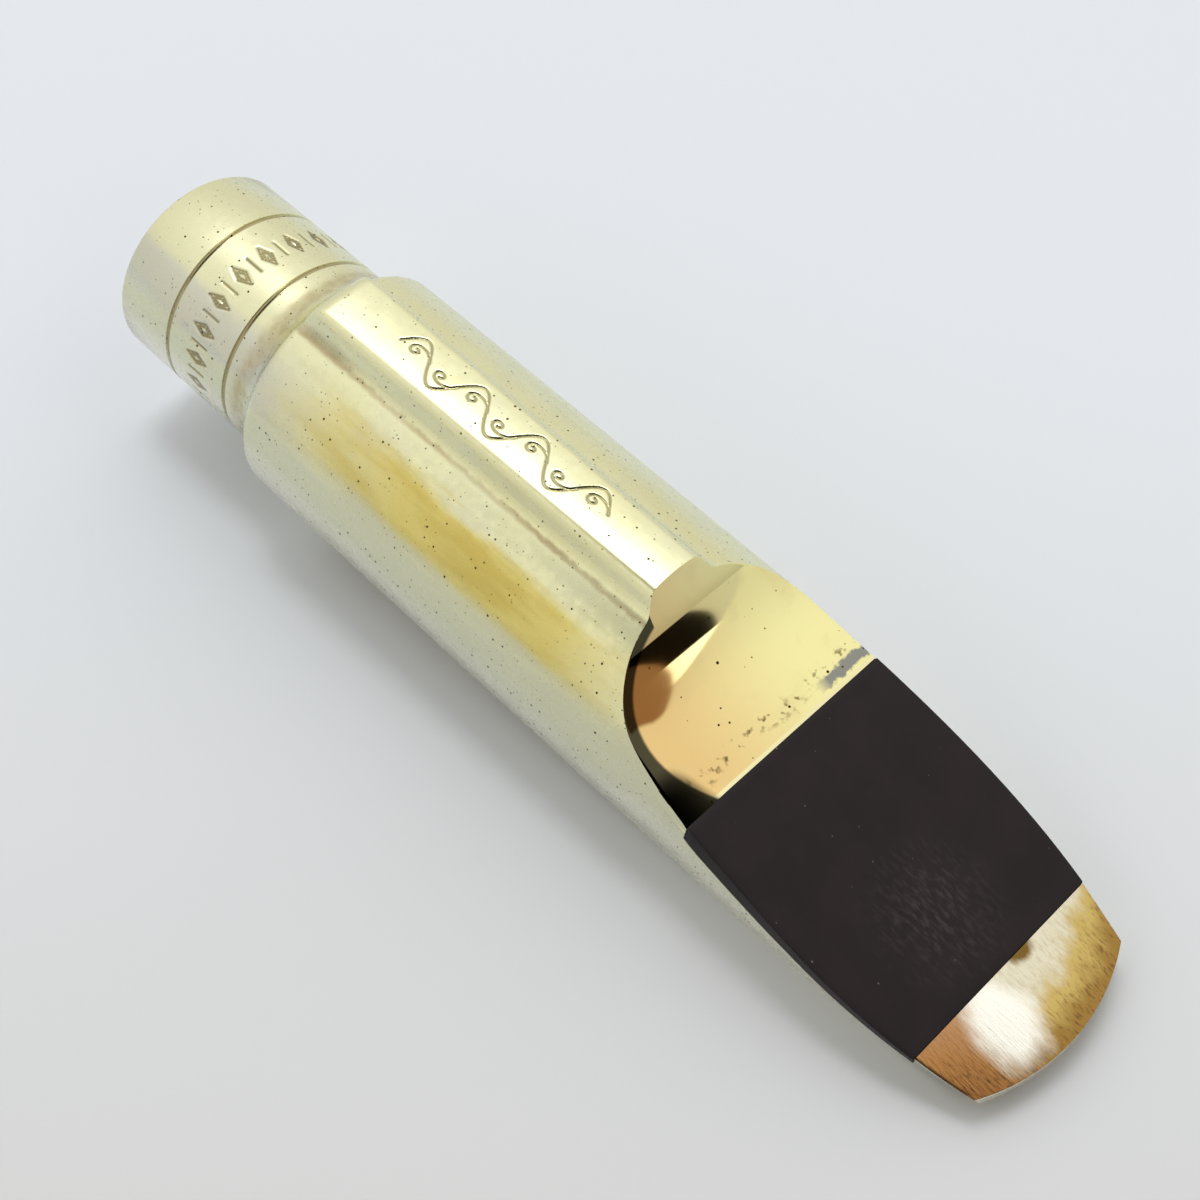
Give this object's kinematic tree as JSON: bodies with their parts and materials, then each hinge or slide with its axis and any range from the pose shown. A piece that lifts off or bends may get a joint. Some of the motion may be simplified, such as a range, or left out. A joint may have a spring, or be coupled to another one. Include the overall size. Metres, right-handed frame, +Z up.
{
  "type": "saxophone mouthpiece",
  "caption": "Plated brass tenor saxophone mouthpiece: round barrel with a raised spine, turned shank, scooped beak with a let-in bite plate, and an open window in front of the reed table.",
  "frame": {"origin": "on the floor that the mouthpiece lies on, below the middle of its bounding box", "axes": "+X towards the tip, +Y across, +Z up; the bore runs along +X and dips 4.03 degrees towards the tip, because the mouthpiece leans on its collar and its side rails"},
  "size_m": [0.1018, 0.0228, 0.0246],
  "materials": {
    "plated_brass": "polished pale gold plate, worn and pitted",
    "hard_rubber": "matte black hard rubber"
  },
  "bodies": {
    "root": {"shank_sleeve": "plated_brass", "body_shell": "plated_brass", "table_plate": "plated_brass", "bite_plate": "hard_rubber"}
  },
  "joints": []
}
